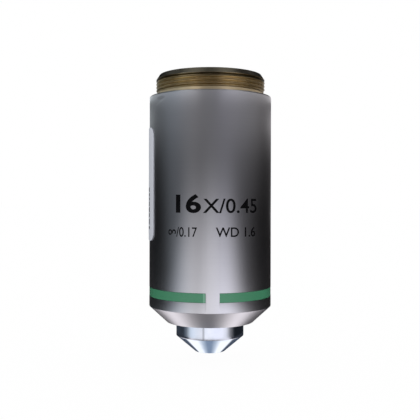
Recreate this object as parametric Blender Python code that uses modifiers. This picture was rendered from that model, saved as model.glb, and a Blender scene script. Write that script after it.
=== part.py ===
"""Microscope objective: a satin sleeve on a threaded collar, round a spring-loaded lens unit.

Sizes are in metres and +Z is up. The optical axis is the Z axis and z = 0 is the shoulder that
seats on the nosepiece: the thread stands above it, the sleeve and the nose hang below it, and the
specimen lies PARFOCAL_DISTANCE under it. The front is the side that faces -Y.

Radii build up from the lens stack outwards, and heights run up from the tip and down from the
shoulder, so each piece follows the ones that it fits.
"""

import math

import bmesh
import bpy
from mathutils import Matrix

# Standards that the objective is built to
PARFOCAL_DISTANCE = 0.060
WORKING_DISTANCE = 0.0016
THREAD_RADIUS = 0.0125
THREAD_PITCH = 0.00075

# Clearances
FIT_GAP = 0.0001
SLIDE_GAP = 0.0001
SEAT_GAP = 0.0001
NOSE_RUNNING_GAP = 0.00014
CEMENT_GAP = 0.00005
SKIN_GAP = 0.00005

# Threaded collar
COLLAR_HEIGHT = 0.0050
COLLAR_WALL = 0.0022
COLLAR_BORE_CHAMFER = 0.0005
THREAD_DEPTH = 0.00046
THREAD_CREST = 0.00009
THREAD_LEAD = 0.0006
THREAD_LEAD_HEIGHT = 0.00114
RELIEF_HEIGHT = 0.00134
RELIEF_DEPTH = 0.00045
SPIGOT_LENGTH = 0.005

# Outer sleeve
SHOULDER_WIDTH = 0.0015
SLEEVE_TOP_CHAMFER = 0.0004
SLEEVE_TAPER_HEIGHT = 0.0037
SLEEVE_FOOT_WIDTH = 0.0021
SLEEVE_FLOOR = 0.003

# Colour band, an open ring let into the sleeve
BAND_ABOVE_TAPER = 0.0023
BAND_WIDTH = 0.0021
BAND_THICKNESS = 0.0003
BAND_OPENING = 0.0030
BAND_OPENING_ANGLE = math.radians(2.3)

# Paper label on the left of the sleeve
LABEL_TOP_DEPTH = 0.0073
LABEL_HEIGHT = 0.0255
LABEL_THICKNESS = 0.00015
LABEL_CORNER = 0.0022
LABEL_EDGE_ANGLE = math.radians(64.5)
LABEL_SPAN_ANGLE = math.radians(100.0)

# Guide tube, shim and the ring that holds the spring
GUIDE_WALL = 0.0011
SHIM_THICKNESS = 0.0002
SHIM_WIDTH = 0.0011
RETAINER_DEPTH = 0.0010
RETAINER_HEIGHT = 0.0025
RETAINER_WIDTH = 0.0028
SPANNER_SLOT_WIDTH = 0.0012
SPANNER_SLOT_DEPTH = 0.0008

# Spring that pushes the lens unit down
SPRING_WIRE_RADIUS = 0.00035
SPRING_INSET = 0.0010
SPRING_PITCH = 0.0019
SPRING_CLOSED_TURNS = 1
SPRING_COIL_GAP = 0.0001
SPRING_POINTS_PER_TURN = 14

# Travel of the lens unit, and the dog screw that keeps it from turning
RETRACT_TRAVEL = 0.002
GUIDE_PIN_DEPTH = 0.004
PIN_BODY_RADIUS = 0.0012
PIN_DOG_RADIUS = 0.0008
PIN_DOG_REACH = 0.0009
PIN_SLOT_WIDTH = 0.0004
PIN_SLOT_DEPTH = 0.0003
KEYWAY_DEPTH = 0.0012
KEYWAY_ROUNDING = 0.98

# Lens barrel
BARREL_WALL = 0.0042
UPPER_LAND_HEIGHT = 0.009
LOWER_LAND_HEIGHT = 0.007
WAIST_DEPTH = 0.0022

# Nose
NOSE_WALL = 0.00116
NOSE_PROJECTION = 0.0069
NOSE_THREAD_LENGTH = 0.006
NOSE_TAPER_HEIGHT = 0.0038
NOSE_TIP_RADIUS = 0.00325
NOSE_TIP_RIM = 0.00045

# Lens stack, from the front cell up
STACK_RADIUS = 0.0065
CELL_LIP = 0.0007
CELL_LIP_HEIGHT = 0.0008
CELL_HEADROOM = 0.0002
FRONT_CELL_WALL = 0.0006
FRONT_CELL_RECESS = 0.0002
FRONT_CELL_LIP = 0.00025
FRONT_CELL_LIP_HEIGHT = 0.00035
FRONT_CELL_FLANGE = 0.0020
FRONT_CELL_MOUTH_WIDTH = 0.0020
SECOND_CELL_WALL = 0.0028
LOWER_SPACER_HEIGHT = 0.0018
LOWER_SPACER_WIDTH = 0.0019
DOUBLET_CELL_WALL = 0.0018
MIDDLE_SPACER_HEIGHT = 0.0020
MIDDLE_SPACER_WIDTH = 0.0015
TRIPLET_CELL_WALL = 0.0012
UPPER_SPACER_HEIGHT = 0.0018
UPPER_SPACER_WIDTH = 0.0013
REAR_CELL_WALL = 0.0012
LOCK_RING_HEIGHT = 0.0018
LOCK_RING_WIDTH = 0.0013
REAR_STOP_THICKNESS = 0.0006
REAR_STOP_HOLE_RADIUS = 0.0044

# Glass. Each element is at least this thick, at its rim if it bulges and in its middle if it is
# hollow. Then come the radii of curvature of its upper and lower face: a face that bulges outwards
# has a positive radius, a hollow face a negative one, and a flat face none.
FRONT_LENS = {"least": 0.0008, "upper": 0.0023, "lower": None}
SECOND_LENS = {"least": 0.0020, "upper": 0.0055, "lower": -0.0090}
DOUBLET_FLINT = {"least": 0.0012, "upper": -0.0075, "lower": -0.0400}
DOUBLET_CROWN = {"least": 0.0007, "upper": 0.0120, "lower": 0.0075}
TRIPLET_LOWER = {"least": 0.0007, "upper": 0.0090, "lower": 0.0140}
TRIPLET_MIDDLE = {"least": 0.0011, "upper": -0.0100, "lower": -0.0090}
TRIPLET_UPPER = {"least": 0.0008, "upper": 0.0160, "lower": 0.0100}
REAR_CROWN = {"least": 0.0010, "upper": 0.0110, "lower": 0.0300}
REAR_FLINT = {"least": 0.0013, "upper": -0.0250, "lower": -0.0110}

# Centring screws in the waist of the barrel
CENTRING_SCREWS = 3
CENTRING_SCREW_RADIUS = 0.0008
CENTRING_SOCKET_RADIUS = 0.0004
CENTRING_SOCKET_DEPTH = 0.0006
CENTRING_SCREW_SUNK = 0.0002
FIRST_SCREW_ANGLE = math.radians(30.0)

# Facets round each turned shape, and rings across each face of a lens
OUTER_FACETS = 48
INNER_FACETS = 32
CELL_FACETS = 24
SCREW_FACETS = 12
HEXAGON = 6
LENS_RINGS = 3
CORNER_SEGMENTS = 4
SHARP_ANGLE = math.radians(30.0)
WELD_DISTANCE = 0.000001

# How far a cutter reaches past the face that it opens
OVERCUT = 0.001


def sag(radius, curvature):
    """How far a face of this radius of curvature has fallen away from its centre at this radius."""
    if curvature is None:
        return 0.0
    depth = abs(curvature) - math.sqrt(curvature * curvature - radius * radius)
    return math.copysign(depth, curvature)


def centre_thickness(glass, rim):
    bulge = sag(rim, glass["upper"]) + sag(rim, glass["lower"])
    return glass["least"] + max(0.0, bulge)


def lens_rise(glass, rim):
    """Height of the centre of the lower face of a lens over the lip of the cell that it rests on."""
    return SEAT_GAP - min(sag(rim, glass["lower"]), sag(rim - CELL_LIP, glass["lower"]))


def cell_height(glasses, rim):
    """Height of a cell that holds these cemented elements between its lip and its headroom."""
    height = CELL_LIP_HEIGHT + lens_rise(glasses[0], rim)
    height += sum(centre_thickness(glass, rim) + CEMENT_GAP for glass in glasses)
    hollow_top = max(0.0, -sag(rim, glasses[-1]["upper"]))
    return height + hollow_top + CELL_HEADROOM


# Radii that fit each other, from the lens stack outwards
stack_bore_radius = STACK_RADIUS + FIT_GAP
nose_radius = stack_bore_radius + NOSE_WALL
nose_hole_radius = NOSE_TIP_RADIUS - NOSE_TIP_RIM
nose_socket_radius = nose_radius + FIT_GAP
barrel_radius = stack_bore_radius + BARREL_WALL
waist_radius = barrel_radius - WAIST_DEPTH
guide_bore_radius = barrel_radius + SLIDE_GAP
spigot_radius = guide_bore_radius + GUIDE_WALL
collar_bore_radius = spigot_radius - COLLAR_WALL
relief_radius = THREAD_RADIUS - RELIEF_DEPTH
retainer_radius = guide_bore_radius - FIT_GAP
spring_radius = barrel_radius - SPRING_INSET
sleeve_radius = THREAD_RADIUS + SHOULDER_WIDTH
sleeve_bore_radius = spigot_radius + FIT_GAP
sleeve_entry_radius = max(THREAD_RADIUS, sleeve_bore_radius) + FIT_GAP
sleeve_mouth_radius = nose_radius + NOSE_RUNNING_GAP
sleeve_foot_radius = sleeve_mouth_radius + SLEEVE_FOOT_WIDTH

# Rims of the lenses inside their cells
front_neck_radius = nose_hole_radius - FIT_GAP
front_rim = front_neck_radius - FRONT_CELL_WALL - FIT_GAP
second_rim = STACK_RADIUS - SECOND_CELL_WALL - FIT_GAP
doublet_rim = STACK_RADIUS - DOUBLET_CELL_WALL - FIT_GAP
triplet_rim = STACK_RADIUS - TRIPLET_CELL_WALL - FIT_GAP
rear_rim = STACK_RADIUS - REAR_CELL_WALL - FIT_GAP

# Elements in each cell, from its lip up, and the heights of the cells
second_group = [SECOND_LENS]
doublet_group = [DOUBLET_FLINT, DOUBLET_CROWN]
triplet_group = [TRIPLET_LOWER, TRIPLET_MIDDLE, TRIPLET_UPPER]
rear_group = [REAR_CROWN, REAR_FLINT]
second_cell_height = cell_height(second_group, second_rim)
doublet_cell_height = cell_height(doublet_group, doublet_rim)
triplet_cell_height = cell_height(triplet_group, triplet_rim)
rear_cell_height = cell_height(rear_group, rear_rim)

# Heights of the outer pieces
tip_z = WORKING_DISTANCE - PARFOCAL_DISTANCE
sleeve_end_z = tip_z + NOSE_PROJECTION
sleeve_floor_z = sleeve_end_z + SLEEVE_FLOOR
taper_top_z = sleeve_end_z + SLEEVE_TAPER_HEIGHT
band_foot_z = taper_top_z + BAND_ABOVE_TAPER
shim_top_z = -SPIGOT_LENGTH - SEAT_GAP
guide_top_z = shim_top_z - SHIM_THICKNESS - SEAT_GAP
guide_foot_z = sleeve_floor_z + SEAT_GAP
barrel_foot_z = sleeve_floor_z + SEAT_GAP
nose_top_z = barrel_foot_z + NOSE_THREAD_LENGTH
nose_taper_top_z = tip_z + NOSE_TAPER_HEIGHT
retainer_top_z = guide_top_z - RETAINER_DEPTH
retainer_foot_z = retainer_top_z - RETAINER_HEIGHT

# The inside of the nose runs parallel to its outer cone, NOSE_WALL away from it
nose_taper_width = nose_radius - NOSE_TIP_RADIUS
nose_taper_slant = math.hypot(nose_taper_width, NOSE_TAPER_HEIGHT)
nose_wall_rise = NOSE_WALL * nose_taper_slant / nose_taper_width


def nose_inside_z(radius):
    """Height of the nose's inner cone at this radius."""
    outside = tip_z + (radius - NOSE_TIP_RADIUS) * NOSE_TAPER_HEIGHT / nose_taper_width
    return outside + nose_wall_rise


# Heights of the lens stack, each piece seated on the one below
front_cell_seat_z = nose_inside_z(stack_bore_radius) + SEAT_GAP
front_cell_top_z = front_cell_seat_z + FRONT_CELL_FLANGE
second_cell_z = front_cell_top_z + SEAT_GAP
lower_spacer_z = second_cell_z + second_cell_height + SEAT_GAP
doublet_cell_z = lower_spacer_z + LOWER_SPACER_HEIGHT + SEAT_GAP
middle_spacer_z = doublet_cell_z + doublet_cell_height + SEAT_GAP
triplet_cell_z = middle_spacer_z + MIDDLE_SPACER_HEIGHT + SEAT_GAP
upper_spacer_z = triplet_cell_z + triplet_cell_height + SEAT_GAP
rear_cell_z = upper_spacer_z + UPPER_SPACER_HEIGHT + SEAT_GAP
lock_ring_z = rear_cell_z + rear_cell_height + SEAT_GAP
rear_stop_z = lock_ring_z + LOCK_RING_HEIGHT + SEAT_GAP
barrel_top_z = rear_stop_z + REAR_STOP_THICKNESS
guide_pin_z = barrel_top_z - GUIDE_PIN_DEPTH
centring_screw_z = triplet_cell_z + triplet_cell_height / 2.0


def new_collection(name):
    collection = bpy.data.collections.new(name)
    bpy.context.scene.collection.children.link(collection)
    return collection


def new_material(name, colour, roughness, metallic=0.0, transmission=0.0):
    material = bpy.data.materials.new(name)
    material.use_nodes = True
    shader = material.node_tree.nodes["Principled BSDF"]
    shader.inputs["Base Color"].default_value = (*colour, 1.0)
    shader.inputs["Roughness"].default_value = roughness
    shader.inputs["Metallic"].default_value = metallic
    shader.inputs["Transmission Weight"].default_value = transmission
    material.diffuse_color = (*colour, 1.0)
    return material


def new_object(name, data, collection, z=0.0):
    obj = bpy.data.objects.new(name, data)
    obj.location.z = z
    collection.objects.link(obj)
    return obj


def place(obj, carrier, material):
    """Parent a piece to the empty of its moving body, and give it its material."""
    obj.parent = carrier
    obj.data.materials.append(material)
    return obj


def turned(name, profile, facets, collection, z=0.0):
    """Turn a profile of (radius, height) points round the Z axis.

    The points run down the outer side. A profile that leaves the axis and comes back to it is a
    solid piece, and any other is closed into a ring.
    """
    mesh = bpy.data.meshes.new(name)
    points = [(radius, 0.0, height) for radius, height in profile]
    edges = [(i, i + 1) for i in range(len(points) - 1)]
    if profile[0][0] > 0.0:
        edges.append((len(points) - 1, 0))
    mesh.from_pydata(points, edges, [])
    obj = new_object(name, mesh, collection, z)
    screw = obj.modifiers.new("Turn", "SCREW")
    screw.axis = "Z"
    screw.angle = 2.0 * math.pi
    screw.steps = facets
    screw.render_steps = facets
    screw.use_merge_vertices = True
    screw.merge_threshold = WELD_DISTANCE
    return obj


def ring_profile(outer_radius, inner_radius, top, foot=0.0):
    return [(outer_radius, top), (outer_radius, foot), (inner_radius, foot), (inner_radius, top)]


def rounded_block(name, across, along, depth, corner, collection):
    """A block of depth along X, with its four corners in the YZ plane rounded."""
    mesh = bpy.data.meshes.new(name)
    shape = bmesh.new()
    size = Matrix.Diagonal((depth, across, along, 1.0))
    bmesh.ops.create_cube(shape, size=1.0, matrix=size)
    if corner > 0.0:
        lengthwise = [e for e in shape.edges if abs(e.verts[0].co.x - e.verts[1].co.x) > 0.5 * depth]
        bmesh.ops.bevel(shape, geom=lengthwise, offset=corner, segments=CORNER_SEGMENTS,
                        affect="EDGES", profile=0.5)
    shape.to_mesh(mesh)
    shape.free()
    return new_object(name, mesh, collection)


def cylinder(name, radius, length, facets, collection):
    """A cylinder along X that starts at the origin."""
    mesh = bpy.data.meshes.new(name)
    shape = bmesh.new()
    lie_along_x = Matrix.Translation((length / 2.0, 0.0, 0.0)) @ Matrix.Rotation(math.pi / 2.0, 4, "Y")
    bmesh.ops.create_cone(shape, cap_ends=True, segments=facets, radius1=radius, radius2=radius,
                          depth=length, matrix=lie_along_x)
    shape.to_mesh(mesh)
    shape.free()
    return new_object(name, mesh, collection)


def point_outwards(obj, angle, radius, z):
    """Place an object that lies along X at this radius, pointing away from the axis."""
    obj.rotation_euler.z = angle
    obj.location = (radius * math.cos(angle), radius * math.sin(angle), z)
    return obj


def from_front(angle):
    """Direction round the axis, measured from the front towards the right."""
    return angle - math.pi / 2.0


def boolean(obj, other, operation="DIFFERENCE"):
    modifier = obj.modifiers.new(other.name, "BOOLEAN")
    modifier.operation = operation
    modifier.solver = "EXACT"
    modifier.object = other


def as_cutter(obj):
    obj.hide_render = True
    obj.display_type = "WIRE"
    return obj


def thread_rings(top, foot):
    """Points down the mounting thread, whose turns are closed rings of its section."""
    turns = math.floor((top - foot) / THREAD_PITCH)
    for turn in range(turns):
        crest_z = top - turn * THREAD_PITCH
        yield THREAD_RADIUS, crest_z
        yield THREAD_RADIUS, crest_z - THREAD_CREST
        yield THREAD_RADIUS - THREAD_DEPTH, crest_z - (THREAD_PITCH + THREAD_CREST) / 2.0
    yield THREAD_RADIUS, top - turns * THREAD_PITCH
    yield THREAD_RADIUS, foot


def make_thread_collar(carrier, material, parts):
    """The brass collar: a lead-in, the thread, a relief neck and the spigot that carries the tube."""
    profile = [
        (THREAD_RADIUS - THREAD_LEAD, COLLAR_HEIGHT),
        *thread_rings(COLLAR_HEIGHT - THREAD_LEAD_HEIGHT, RELIEF_HEIGHT),
        (relief_radius, RELIEF_HEIGHT - RELIEF_DEPTH),
        (relief_radius, SEAT_GAP),
        (spigot_radius, SEAT_GAP),
        (spigot_radius, -SPIGOT_LENGTH),
        (collar_bore_radius, -SPIGOT_LENGTH),
        (collar_bore_radius, COLLAR_HEIGHT - COLLAR_BORE_CHAMFER),
        (collar_bore_radius + COLLAR_BORE_CHAMFER, COLLAR_HEIGHT),
    ]
    place(turned("thread_collar", profile, OUTER_FACETS, parts), carrier, material)


def open_ring(name, outer_radius, inner_radius, width, opening, collection, cutters):
    """A ring round the sleeve's lower end, open over a short stretch near the front."""
    ring = turned(name, ring_profile(outer_radius, inner_radius, width), OUTER_FACETS, collection)
    gap = rounded_block(name + "_opening", opening, 2.0 * width, sleeve_radius, 0.0, cutters)
    direction = from_front(BAND_OPENING_ANGLE)
    point_outwards(gap, direction, sleeve_radius, band_foot_z + BAND_WIDTH / 2.0)
    boolean(ring, as_cutter(gap))
    return ring


def make_outer_sleeve(carrier, material, parts, cutters):
    """The satin sleeve: seating shoulder, plain body, taper, and a floor that the nose comes through.

    The bore opens in a chamfer at the top, so that the flat of the shoulder lies outside the thread.
    """
    entry_chamfer = sleeve_entry_radius - sleeve_bore_radius
    profile = [
        (sleeve_radius - SLEEVE_TOP_CHAMFER, 0.0),
        (sleeve_radius, -SLEEVE_TOP_CHAMFER),
        (sleeve_radius, taper_top_z),
        (sleeve_foot_radius, sleeve_end_z),
        (sleeve_mouth_radius, sleeve_end_z),
        (sleeve_mouth_radius, sleeve_floor_z),
        (sleeve_bore_radius, sleeve_floor_z),
        (sleeve_bore_radius, -entry_chamfer),
        (sleeve_entry_radius, 0.0),
    ]
    sleeve = place(turned("outer_sleeve", profile, OUTER_FACETS, parts), carrier, material)
    groove = open_ring("band_groove", sleeve_radius + OVERCUT, sleeve_radius - BAND_THICKNESS,
                       BAND_WIDTH, BAND_OPENING, cutters, cutters)
    groove.location.z = band_foot_z
    boolean(sleeve, as_cutter(groove))


def make_colour_band(carrier, material, parts, cutters):
    """The green ring that codes the magnification, flush with the sleeve in its groove."""
    inner_radius = sleeve_radius - BAND_THICKNESS + SKIN_GAP
    width = BAND_WIDTH - 2.0 * SKIN_GAP
    opening = BAND_OPENING + 2.0 * FIT_GAP
    band = open_ring("colour_band", sleeve_radius, inner_radius, width, opening, parts, cutters)
    band.location.z = band_foot_z + SKIN_GAP
    place(band, carrier, material)


def make_side_label(carrier, material, parts, cutters):
    """The paper label, a thin sheet with round corners bent round the sleeve's left side."""
    inner_radius = sleeve_radius + SKIN_GAP
    outer_radius = inner_radius + LABEL_THICKNESS
    profile = ring_profile(outer_radius, inner_radius, OVERCUT - LABEL_TOP_DEPTH,
                           -LABEL_TOP_DEPTH - LABEL_HEIGHT - OVERCUT)
    label = turned("side_label", profile, OUTER_FACETS, parts)
    width = 2.0 * outer_radius * math.sin(LABEL_SPAN_ANGLE / 2.0)
    outline = rounded_block("label_outline", width, LABEL_HEIGHT, sleeve_radius, LABEL_CORNER, cutters)
    direction = from_front(-LABEL_EDGE_ANGLE - LABEL_SPAN_ANGLE / 2.0)
    point_outwards(outline, direction, sleeve_radius, -LABEL_TOP_DEPTH - LABEL_HEIGHT / 2.0)
    boolean(label, as_cutter(outline), "INTERSECT")
    place(label, carrier, material)


def make_guide_tube(carrier, material, parts, cutters):
    """The tube that the lens barrel slides in, clamped between the shim and the sleeve's floor."""
    profile = ring_profile(spigot_radius, guide_bore_radius, guide_top_z, guide_foot_z)
    tube = place(turned("guide_tube", profile, INNER_FACETS, parts), carrier, material)
    hole = cylinder("pin_hole", PIN_BODY_RADIUS + FIT_GAP, sleeve_radius, SCREW_FACETS, cutters)
    point_outwards(hole, 0.0, barrel_radius - OVERCUT, guide_pin_z)
    boolean(tube, as_cutter(hole))


def make_parfocal_shim(carrier, material, parts):
    """The thin washer whose thickness sets the parfocal distance."""
    profile = ring_profile(spigot_radius, spigot_radius - SHIM_WIDTH, shim_top_z,
                           shim_top_z - SHIM_THICKNESS)
    place(turned("parfocal_shim", profile, INNER_FACETS, parts), carrier, material)


def spanner_slots(ring, top_z, cutters):
    """Cut the two slots of a pin spanner straight across the top of a ring."""
    cutter = rounded_block(ring.name + "_slots", SPANNER_SLOT_WIDTH, 2.0 * SPANNER_SLOT_DEPTH,
                           2.0 * sleeve_radius, 0.0, cutters)
    cutter.location.z = top_z
    boolean(ring, as_cutter(cutter))


def make_spring_retainer(carrier, material, parts, cutters):
    """The ring screwed into the top of the guide tube, which the spring pushes against."""
    profile = ring_profile(retainer_radius, retainer_radius - RETAINER_WIDTH, retainer_top_z,
                           retainer_foot_z)
    ring = place(turned("spring_retainer", profile, INNER_FACETS, parts), carrier, material)
    spanner_slots(ring, retainer_top_z, cutters)


def spring_points():
    """Points down the wire: closed turns at each end, open turns between them."""
    top = retainer_foot_z - SEAT_GAP - SPRING_WIRE_RADIUS
    foot = barrel_top_z + SEAT_GAP + SPRING_WIRE_RADIUS
    closed_pitch = 2.0 * SPRING_WIRE_RADIUS + SPRING_COIL_GAP
    open_drop = top - foot - 2.0 * SPRING_CLOSED_TURNS * closed_pitch
    open_turns = open_drop / SPRING_PITCH
    turns = open_turns + 2.0 * SPRING_CLOSED_TURNS
    steps = math.ceil(turns * SPRING_POINTS_PER_TURN)
    for i in range(steps + 1):
        turn = turns * i / steps
        closed_above = min(turn, SPRING_CLOSED_TURNS)
        closed_below = max(0.0, turn - SPRING_CLOSED_TURNS - open_turns)
        opened = turn - closed_above - closed_below
        z = top - (closed_above + closed_below) * closed_pitch - opened * SPRING_PITCH
        angle = 2.0 * math.pi * turn
        yield spring_radius * math.cos(angle), spring_radius * math.sin(angle), z


def make_retract_spring(carrier, material, parts):
    """The coil spring that holds the nose out and lets it give way when it meets a slide."""
    points = list(spring_points())
    curve = bpy.data.curves.new("retract_spring", "CURVE")
    curve.dimensions = "3D"
    curve.bevel_depth = SPRING_WIRE_RADIUS
    curve.bevel_resolution = 2
    curve.use_fill_caps = True
    spline = curve.splines.new("POLY")
    spline.points.add(len(points) - 1)
    for point, on_wire in zip(spline.points, points):
        point.co = (*on_wire, 1.0)
    place(new_object("retract_spring", curve, parts), carrier, material)


def make_guide_pin(carrier, material, parts, cutters):
    """The dog screw in the guide tube, whose tip rides in the keyway of the barrel."""
    dog_tip_radius = barrel_radius - PIN_DOG_REACH
    length = spigot_radius - dog_tip_radius
    dog_length = guide_bore_radius - dog_tip_radius
    profile = [
        (0.0, length),
        (PIN_BODY_RADIUS, length),
        (PIN_BODY_RADIUS, dog_length),
        (PIN_DOG_RADIUS, dog_length),
        (PIN_DOG_RADIUS, 0.0),
        (0.0, 0.0),
    ]
    pin = place(turned("guide_pin", profile, SCREW_FACETS, parts), carrier, material)
    pin.rotation_euler.y = math.pi / 2.0
    pin.location = (dog_tip_radius, 0.0, guide_pin_z)
    slot = rounded_block("guide_pin_slot", 2.0 * (PIN_BODY_RADIUS + OVERCUT), PIN_SLOT_WIDTH,
                         2.0 * PIN_SLOT_DEPTH, 0.0, cutters)
    slot.location = (spigot_radius, 0.0, guide_pin_z)
    boolean(pin, as_cutter(slot))


def screw_angles():
    return [FIRST_SCREW_ANGLE + 2.0 * math.pi * i / CENTRING_SCREWS for i in range(CENTRING_SCREWS)]


def cut_keyway(barrel, cutters):
    """The blind slot that the dog of the guide pin rides in, as long as the travel."""
    end = PIN_DOG_RADIUS + SLIDE_GAP
    depth = KEYWAY_DEPTH + OVERCUT
    keyway = rounded_block("keyway", 2.0 * end, RETRACT_TRAVEL + 2.0 * end, depth,
                           KEYWAY_ROUNDING * end, cutters)
    keyway.location = (barrel_radius + OVERCUT - depth / 2.0, 0.0, guide_pin_z - RETRACT_TRAVEL / 2.0)
    boolean(barrel, as_cutter(keyway))


def make_lens_barrel(carrier, material, parts, cutters):
    """The sliding barrel: two lands that run in the guide tube, a waist between them, the lens bore."""
    upper_land_foot = barrel_top_z - UPPER_LAND_HEIGHT
    lower_land_top = barrel_foot_z + LOWER_LAND_HEIGHT
    nose_ledge = nose_top_z + SEAT_GAP
    profile = [
        (barrel_radius, barrel_top_z),
        (barrel_radius, upper_land_foot),
        (waist_radius, upper_land_foot),
        (waist_radius, lower_land_top),
        (barrel_radius, lower_land_top),
        (barrel_radius, barrel_foot_z),
        (nose_socket_radius, barrel_foot_z),
        (nose_socket_radius, nose_ledge),
        (stack_bore_radius, nose_ledge),
        (stack_bore_radius, barrel_top_z),
    ]
    barrel = place(turned("lens_barrel", profile, INNER_FACETS, parts), carrier, material)
    cut_keyway(barrel, cutters)
    for number, angle in enumerate(screw_angles(), 1):
        hole = cylinder("centring_hole_" + str(number), CENTRING_SCREW_RADIUS + FIT_GAP,
                        waist_radius, SCREW_FACETS, cutters)
        point_outwards(hole, angle, stack_bore_radius - OVERCUT, centring_screw_z)
        boolean(barrel, as_cutter(hole))


def make_centring_screws(carrier, material, parts, cutters):
    """Socket set screws in the waist, which push the triplet cell sideways onto the axis."""
    length = waist_radius - CENTRING_SCREW_SUNK - stack_bore_radius
    socket_radius = stack_bore_radius + length - CENTRING_SOCKET_DEPTH
    for number, angle in enumerate(screw_angles(), 1):
        name = "centring_screw_" + str(number)
        screw = cylinder(name, CENTRING_SCREW_RADIUS, length, SCREW_FACETS, parts)
        place(point_outwards(screw, angle, stack_bore_radius, centring_screw_z), carrier, material)
        socket = cylinder(name + "_socket", CENTRING_SOCKET_RADIUS, 2.0 * CENTRING_SOCKET_DEPTH,
                          HEXAGON, cutters)
        point_outwards(socket, angle, socket_radius, centring_screw_z)
        boolean(screw, as_cutter(socket))


def make_nose(carrier, material, parts):
    """The polished nose, screwed into the barrel and open at its tip for the front cell."""
    profile = [
        (nose_radius, nose_top_z),
        (nose_radius, nose_taper_top_z),
        (NOSE_TIP_RADIUS, tip_z),
        (nose_hole_radius, tip_z),
        (nose_hole_radius, nose_inside_z(nose_hole_radius)),
        (stack_bore_radius, nose_inside_z(stack_bore_radius)),
        (stack_bore_radius, nose_top_z),
    ]
    place(turned("nose_cone", profile, OUTER_FACETS, parts), carrier, material)


def lens(name, glass, rim, z, carrier, material, parts):
    """One lens element, whose lower face has its centre at height z."""
    centre = centre_thickness(glass, rim)
    steps = [rim * i / LENS_RINGS for i in range(LENS_RINGS + 1)]
    upper = [(r, centre - sag(r, glass["upper"])) for r in steps]
    lower = [(r, sag(r, glass["lower"])) for r in reversed(steps)]
    place(turned(name, upper + lower, CELL_FACETS, parts, z), carrier, material)


def make_front_group(carrier, cell_material, glass_material, parts):
    """The cell that seats in the nose and carries the front lens behind the hole in the tip."""
    rim_bore = front_rim + FIT_GAP
    lip_radius = front_rim - FRONT_CELL_LIP
    mouth_radius = STACK_RADIUS - FRONT_CELL_MOUTH_WIDTH
    foot_z = tip_z + FRONT_CELL_RECESS
    lip_z = foot_z + FRONT_CELL_LIP_HEIGHT
    lens_z = lip_z + SEAT_GAP
    throat_z = lens_z + centre_thickness(FRONT_LENS, front_rim) + SEAT_GAP
    profile = [
        (STACK_RADIUS, front_cell_top_z),
        (STACK_RADIUS, nose_inside_z(STACK_RADIUS) + 2.0 * SEAT_GAP),
        (front_neck_radius, nose_inside_z(front_neck_radius) + 2.0 * SEAT_GAP),
        (front_neck_radius, foot_z),
        (lip_radius, foot_z),
        (lip_radius, lip_z),
        (rim_bore, lip_z),
        (rim_bore, throat_z),
        (mouth_radius, throat_z + mouth_radius - rim_bore),
        (mouth_radius, front_cell_top_z),
    ]
    place(turned("front_cell", profile, CELL_FACETS, parts), carrier, cell_material)
    lens("front_lens", FRONT_LENS, front_rim, lens_z, carrier, glass_material, parts)


def make_cell(name, rim, height, z, carrier, material, parts):
    """A turned ring whose lower lip carries lenses of this rim."""
    bore_radius = rim + FIT_GAP
    lip_radius = rim - CELL_LIP
    profile = [
        (STACK_RADIUS, height),
        (STACK_RADIUS, 0.0),
        (lip_radius, 0.0),
        (lip_radius, CELL_LIP_HEIGHT),
        (bore_radius, CELL_LIP_HEIGHT),
        (bore_radius, height),
    ]
    place(turned(name, profile, CELL_FACETS, parts, z), carrier, material)


def make_cemented_group(names, glasses, rim, cell_z, carrier, materials, parts):
    """Lens elements cemented face to face, the lowest of them on the lip of the cell."""
    z = cell_z + CELL_LIP_HEIGHT + lens_rise(glasses[0], rim)
    for name, glass, material in zip(names, glasses, materials):
        lens(name, glass, rim, z, carrier, material, parts)
        z += centre_thickness(glass, rim) + CEMENT_GAP


def make_spacer(name, height, width, z, carrier, material, parts):
    """A plain ring of the lens stack."""
    profile = ring_profile(STACK_RADIUS, STACK_RADIUS - width, height)
    return place(turned(name, profile, CELL_FACETS, parts, z), carrier, material)


def make_lens_stack(carrier, black, crown, flint, parts):
    """The cells and spacers that drop into the barrel on top of the front cell."""
    make_cell("second_cell", second_rim, second_cell_height, second_cell_z, carrier, black, parts)
    make_cemented_group(["second_lens"], second_group, second_rim, second_cell_z, carrier, [crown],
                        parts)
    make_spacer("lower_spacer", LOWER_SPACER_HEIGHT, LOWER_SPACER_WIDTH, lower_spacer_z, carrier,
                black, parts)

    make_cell("doublet_cell", doublet_rim, doublet_cell_height, doublet_cell_z, carrier, black, parts)
    make_cemented_group(["doublet_flint", "doublet_crown"], doublet_group, doublet_rim,
                        doublet_cell_z, carrier, [flint, crown], parts)
    make_spacer("middle_spacer", MIDDLE_SPACER_HEIGHT, MIDDLE_SPACER_WIDTH, middle_spacer_z, carrier,
                black, parts)

    make_cell("triplet_cell", triplet_rim, triplet_cell_height, triplet_cell_z, carrier, black, parts)
    make_cemented_group(["triplet_lower", "triplet_middle", "triplet_upper"], triplet_group,
                        triplet_rim, triplet_cell_z, carrier, [crown, flint, crown], parts)
    make_spacer("upper_spacer", UPPER_SPACER_HEIGHT, UPPER_SPACER_WIDTH, upper_spacer_z, carrier,
                black, parts)

    make_cell("rear_cell", rear_rim, rear_cell_height, rear_cell_z, carrier, black, parts)
    make_cemented_group(["rear_crown", "rear_flint"], rear_group, rear_rim, rear_cell_z, carrier,
                        [crown, flint], parts)


def make_lock_ring(carrier, material, parts, cutters):
    """The threaded ring that presses the stack down onto the nose."""
    ring = make_spacer("lock_ring", LOCK_RING_HEIGHT, LOCK_RING_WIDTH, lock_ring_z, carrier,
                       material, parts)
    spanner_slots(ring, lock_ring_z + LOCK_RING_HEIGHT, cutters)


def make_rear_stop(carrier, material, parts):
    """The black disc whose hole limits the beam that leaves the objective."""
    make_spacer("rear_stop", REAR_STOP_THICKNESS, STACK_RADIUS - REAR_STOP_HOLE_RADIUS, rear_stop_z,
                carrier, material, parts)


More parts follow.
